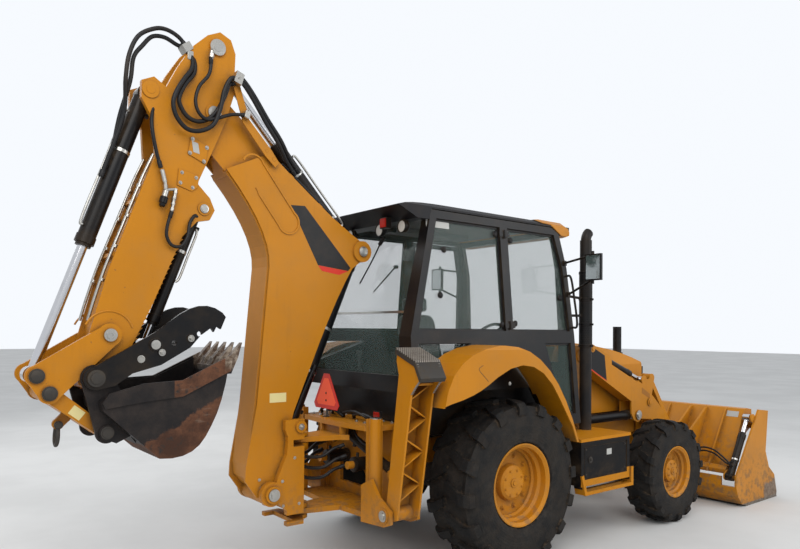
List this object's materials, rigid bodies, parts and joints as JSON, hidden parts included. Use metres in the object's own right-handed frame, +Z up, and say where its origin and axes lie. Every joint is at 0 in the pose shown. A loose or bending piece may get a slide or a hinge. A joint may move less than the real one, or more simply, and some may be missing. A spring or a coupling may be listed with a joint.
{
  "type": "backhoe loader",
  "caption": "Wheeled backhoe loader: enclosed cab, front loader with an opening clam bucket, swinging rear digger with a thumb, two stabilizer legs.",
  "frame": {"origin": "On the ground, at the middle of the machine's length and width as parked.", "axes": "+X points forward to the loader bucket, +Y to the machine's left, +Z up."},
  "size_m": [7.414, 2.406, 3.905],
  "materials": {
    "yellow_paint": "semi-gloss, dusty",
    "black_paint": "satin",
    "roof_plastic": "matte",
    "iron": "oily",
    "tyre_rubber": "dusty",
    "chromed_rod": "polished",
    "glass": "clear, lightly tinted",
    "door": "matte frame around glass",
    "lamp_plastic": "clear lens",
    "seat_fabric": "woven",
    "worn_steel": "rusty, muddy",
    "hose_rubber": "matte"
  },
  "bodies": {
    "machine": {"chassis_frame": "yellow_paint", "driveline": "iron", "grille": "black_paint", "cab_frame": "black_paint", "cab_roof": "roof_plastic", "cab_glass": "glass", "console": "roof_plastic", "fenders": "yellow_paint", "exhaust_stack": "black_paint", "side_steps": "black_paint", "rear_frame": "yellow_paint", "lamps": "lamp_plastic", "mirrors": "black_paint"},
    "seat": {"seat": "seat_fabric"},
    "hood": {"hood": "yellow_paint"},
    "cab_door": {"cab_door": "door"},
    "rear_wheel_left": {"rear_tyre_left": "tyre_rubber", "rear_rim_left": "yellow_paint"},
    "rear_wheel_right": {"rear_tyre_right": "tyre_rubber", "rear_rim_right": "yellow_paint"},
    "knuckle_left": {"knuckle_left": "iron"},
    "knuckle_right": {"knuckle_right": "iron"},
    "front_wheel_left": {"front_tyre_left": "tyre_rubber", "front_rim_left": "yellow_paint"},
    "front_wheel_right": {"front_tyre_right": "tyre_rubber", "front_rim_right": "yellow_paint"},
    "loader_arms": {"loader_arms": "yellow_paint"},
    "lift_barrels": {"lift_barrels": "black_paint"},
    "lift_rods": {"lift_rods": "chromed_rod"},
    "tilt_barrels": {"tilt_barrels": "black_paint"},
    "tilt_rods": {"tilt_rods": "chromed_rod"},
    "tilt_levers": {"tilt_levers": "yellow_paint"},
    "tilt_links": {"tilt_links": "yellow_paint"},
    "loader_blade": {"loader_blade": "yellow_paint"},
    "loader_jaw": {"loader_jaw": "yellow_paint"},
    "jaw_barrels": {"jaw_barrels": "black_paint"},
    "jaw_rods": {"jaw_rods": "chromed_rod"},
    "swing_casting": {"swing_casting": "yellow_paint"},
    "boom_barrel": {"boom_barrel": "black_paint"},
    "boom_rod": {"boom_rod": "chromed_rod"},
    "stick_barrel": {"stick_barrel": "black_paint"},
    "stick_rod": {"stick_rod": "chromed_rod"},
    "idler_link": {"idler_link": "yellow_paint"},
    "power_link": {"power_link": "yellow_paint"},
    "curl_barrel": {"curl_barrel": "black_paint"},
    "curl_rod": {"curl_rod": "chromed_rod"},
    "dig_bucket": {"dig_bucket": "worn_steel"},
    "thumb": {"thumb": "black_paint"},
    "thumb_barrel": {"thumb_barrel": "black_paint"},
    "thumb_rod": {"thumb_rod": "chromed_rod"},
    "leg_left": {"leg_left": "yellow_paint"},
    "leg_right": {"leg_right": "yellow_paint"},
    "leg_barrel_left": {"leg_barrel_left": "black_paint"},
    "leg_barrel_right": {"leg_barrel_right": "black_paint"},
    "leg_rod_left": {"leg_rod_left": "chromed_rod"},
    "leg_rod_right": {"leg_rod_right": "chromed_rod"},
    "boom": {"boom": "yellow_paint", "boom_hoses": "hose_rubber"},
    "stick": {"stick": "yellow_paint", "stick_hoses": "hose_rubber"}
  },
  "joints": [
    {"name": "rear_left_roll", "type": "hinge", "parent": "machine", "child": "rear_wheel_left", "pos_m": [-0.415, 0.857, 0.652], "axis": [0, 1, 0], "continuous": true},
    {"name": "rear_right_roll", "type": "hinge", "parent": "machine", "child": "rear_wheel_right", "pos_m": [-0.415, -0.857, 0.652], "axis": [0, 1, 0], "continuous": true},
    {"name": "steer_left", "type": "hinge", "parent": "machine", "child": "knuckle_left", "pos_m": [1.785, 0.74, 0.49], "axis": [0, 0, 1], "range_deg": [-40, 40]},
    {"name": "steer_right", "type": "hinge", "parent": "machine", "child": "knuckle_right", "pos_m": [1.785, -0.74, 0.49], "axis": [0, 0, 1], "range_deg": [-40, 40]},
    {"name": "front_left_roll", "type": "hinge", "parent": "knuckle_left", "child": "front_wheel_left", "pos_m": [1.785, 0.947, 0.49], "axis": [0, 1, 0], "continuous": true},
    {"name": "front_right_roll", "type": "hinge", "parent": "knuckle_right", "child": "front_wheel_right", "pos_m": [1.785, -0.947, 0.49], "axis": [0, 1, 0], "continuous": true},
    {"name": "door_open", "type": "hinge", "parent": "machine", "child": "cab_door", "pos_m": [-0.179, 0.74995, 1.80096], "axis": [0, -0.0958, 0.9954], "range_deg": [0, 85]},
    {"name": "hood_open", "type": "hinge", "parent": "machine", "child": "hood", "pos_m": [1.125, 0, 1.65], "axis": [0, -1, 0], "range_deg": [0, 50]},
    {"name": "seat_turn", "type": "hinge", "parent": "machine", "child": "seat", "pos_m": [-0.355, 0, 1.3], "axis": [0, 0, 1], "range_deg": [0, 180]},
    {"name": "lift", "type": "hinge", "parent": "machine", "child": "loader_arms", "pos_m": [0.835, 0, 1.62], "axis": [0, -1, 0], "range_deg": [0, 80]},
    {"name": "lift_barrel_turn", "type": "hinge", "parent": "machine", "child": "lift_barrels", "pos_m": [0.785, 0, 0.99], "axis": [0, -1, 0], "range_deg": [0, 60.83]},
    {"name": "lift_rod_slide", "type": "slide", "parent": "lift_barrels", "child": "lift_rods", "axis": [1, 0, 0], "range_m": [0, 0.67534]},
    {"name": "bucket_tilt", "type": "hinge", "parent": "loader_arms", "child": "loader_blade", "pos_m": [2.605, 0, 0.36], "axis": [0, 1, 0], "range_deg": [-35, 104]},
    {"name": "tilt_lever_turn", "type": "hinge", "parent": "loader_arms", "child": "tilt_levers", "pos_m": [2.055, 0, 1.11], "axis": [0, 1, 0], "range_deg": [-35, 104]},
    {"name": "tilt_link_turn", "type": "hinge", "parent": "tilt_levers", "child": "tilt_links", "pos_m": [2.13534, 0, 1.35727], "axis": [0, -1, 0], "range_deg": [-35, 104]},
    {"name": "tilt_barrel_turn", "type": "hinge", "parent": "loader_arms", "child": "tilt_barrels", "pos_m": [1.065, 0, 1.68], "axis": [0, -1, 0], "range_deg": [-0.24342, 0.081919]},
    {"name": "tilt_rod_slide", "type": "slide", "parent": "tilt_barrels", "child": "tilt_rods", "axis": [0.9395, 0, -0.3424], "range_m": [-0.13105, 0.3894]},
    {"name": "jaw_open", "type": "hinge", "parent": "loader_blade", "child": "loader_jaw", "pos_m": [3.325, 0, 0.84], "axis": [0, -1, 0], "range_deg": [0, 75]},
    {"name": "jaw_barrel_turn", "type": "hinge", "parent": "loader_blade", "child": "jaw_barrels", "pos_m": [2.781, 0, 0.318], "axis": [0, -1, 0], "range_deg": [-15.16, 0]},
    {"name": "jaw_rod_slide", "type": "slide", "parent": "jaw_barrels", "child": "jaw_rods", "axis": [0.542, 0, 0.8404], "range_m": [-0.13102, 0]},
    {"name": "swing", "type": "hinge", "parent": "machine", "child": "swing_casting", "pos_m": [-1.815, 0, 0.78], "axis": [0, 0, 1], "range_deg": [-90, 90]},
    {"name": "boom_lower", "type": "hinge", "parent": "swing_casting", "child": "boom", "pos_m": [-2.115, 0, 0.655], "axis": [0, -1, 0], "range_deg": [0, 131]},
    {"name": "boom_barrel_turn", "type": "hinge", "parent": "swing_casting", "child": "boom_barrel", "pos_m": [-1.89, 0, 1.125], "axis": [0, -1, 0], "range_deg": [0, 139.65]},
    {"name": "boom_rod_slide", "type": "slide", "parent": "boom_barrel", "child": "boom_rod", "axis": [0.3931, 0, 0.9195], "range_m": [0, 0.90581]},
    {"name": "stick_open", "type": "hinge", "parent": "boom", "child": "stick", "pos_m": [-2.565, 0, 3.33], "axis": [0, 1, 0], "range_deg": [0, 95]},
    {"name": "stick_barrel_turn", "type": "hinge", "parent": "boom", "child": "stick_barrel", "pos_m": [-1.315, 0, 2.47], "axis": [0, -1, 0], "range_deg": [0, 1.79]},
    {"name": "stick_rod_slide", "type": "slide", "parent": "stick_barrel", "child": "stick_rod", "axis": [-0.6817, 0, 0.7316], "range_m": [-0.67748, 0]},
    {"name": "bucket_curl", "type": "hinge", "parent": "stick", "child": "dig_bucket", "pos_m": [-3.33, 0, 1.539], "axis": [0, 1, 0], "range_deg": [0, 160]},
    {"name": "idler_turn", "type": "hinge", "parent": "stick", "child": "idler_link", "pos_m": [-3.235, 0, 1.801], "axis": [0, 1, 0], "range_deg": [0, 107.38]},
    {"name": "power_link_turn", "type": "hinge", "parent": "idler_link", "child": "power_link", "pos_m": [-3.573, 0, 1.454], "axis": [0, -1, 0], "range_deg": [0, 36.2]},
    {"name": "curl_barrel_turn", "type": "hinge", "parent": "stick", "child": "curl_barrel", "pos_m": [-2.998, 0, 3.4], "axis": [0, -1, 0], "range_deg": [0, 3.14]},
    {"name": "curl_rod_slide", "type": "slide", "parent": "curl_barrel", "child": "curl_rod", "axis": [-0.3308, 0, -0.9437], "range_m": [-0.76888, 0]},
    {"name": "thumb_fold", "type": "hinge", "parent": "stick", "child": "thumb", "pos_m": [-3.33, 0, 1.539], "axis": [0, -1, 0], "range_deg": [0, 18]},
    {"name": "thumb_barrel_turn", "type": "hinge", "parent": "stick", "child": "thumb_barrel", "pos_m": [-2.628, 0, 2.662], "axis": [0, -1, 0], "range_deg": [-6.79, 0]},
    {"name": "thumb_rod_slide", "type": "slide", "parent": "thumb_barrel", "child": "thumb_rod", "axis": [-0.3522, 0, -0.9359], "range_m": [-0.05896, 0]},
    {"name": "leg_left_lower", "type": "hinge", "parent": "machine", "child": "leg_left", "pos_m": [-1.44, 0.76, 0.53], "axis": [-1, 0, 0], "range_deg": [0, 112]},
    {"name": "leg_left_barrel_turn", "type": "hinge", "parent": "machine", "child": "leg_barrel_left", "pos_m": [-1.365, 0.06, 1.01], "axis": [1, 0, 0], "range_deg": [-7.84, 0]},
    {"name": "leg_left_rod_slide", "type": "slide", "parent": "leg_barrel_left", "child": "leg_rod_left", "axis": [0, 0.9437, -0.3309], "range_m": [0, 0.44453]},
    {"name": "leg_right_lower", "type": "hinge", "parent": "machine", "child": "leg_right", "pos_m": [-1.44, -0.76, 0.53], "axis": [1, 0, 0], "range_deg": [0, 112]},
    {"name": "leg_right_barrel_turn", "type": "hinge", "parent": "machine", "child": "leg_barrel_right", "pos_m": [-1.365, -0.06, 1.01], "axis": [-1, 0, 0], "range_deg": [-7.84, 0]},
    {"name": "leg_right_rod_slide", "type": "slide", "parent": "leg_barrel_right", "child": "leg_rod_right", "axis": [0, -0.9437, -0.3309], "range_m": [0, 0.44453]}
  ],
  "couplings": [
    {"joint": "steer_right", "follows": "steer_left", "ratio": 1},
    {"joint": "lift_barrel_turn", "follows": "lift", "ratio": 0.76037},
    {"joint": "lift_rod_slide", "follows": "lift", "m_per_rad": 0.48368},
    {"joint": "tilt_lever_turn", "follows": "bucket_tilt", "ratio": 1},
    {"joint": "tilt_link_turn", "follows": "bucket_tilt", "ratio": 1},
    {"joint": "tilt_barrel_turn", "follows": "bucket_tilt", "ratio": -0.0023405},
    {"joint": "tilt_rod_slide", "follows": "bucket_tilt", "m_per_rad": 0.21453},
    {"joint": "jaw_barrel_turn", "follows": "jaw_open", "ratio": -0.20215},
    {"joint": "jaw_rod_slide", "follows": "jaw_open", "m_per_rad": -0.10009},
    {"joint": "boom_barrel_turn", "follows": "boom_lower", "ratio": 1.066},
    {"joint": "boom_rod_slide", "follows": "boom_lower", "m_per_rad": 0.39618},
    {"joint": "stick_barrel_turn", "follows": "stick_open", "ratio": 0.018821},
    {"joint": "stick_rod_slide", "follows": "stick_open", "m_per_rad": -0.4086},
    {"joint": "idler_turn", "follows": "bucket_curl", "ratio": 0.67111},
    {"joint": "power_link_turn", "follows": "bucket_curl", "ratio": 0.22628},
    {"joint": "curl_barrel_turn", "follows": "bucket_curl", "ratio": 0.019639},
    {"joint": "curl_rod_slide", "follows": "bucket_curl", "m_per_rad": -0.27533},
    {"joint": "thumb_barrel_turn", "follows": "thumb_fold", "ratio": -0.37745},
    {"joint": "thumb_rod_slide", "follows": "thumb_fold", "m_per_rad": -0.18768},
    {"joint": "leg_left_barrel_turn", "follows": "leg_left_lower", "ratio": -0.070035},
    {"joint": "leg_left_rod_slide", "follows": "leg_left_lower", "m_per_rad": 0.22741},
    {"joint": "leg_right_barrel_turn", "follows": "leg_right_lower", "ratio": -0.070035},
    {"joint": "leg_right_rod_slide", "follows": "leg_right_lower", "m_per_rad": 0.22741}
  ]
}
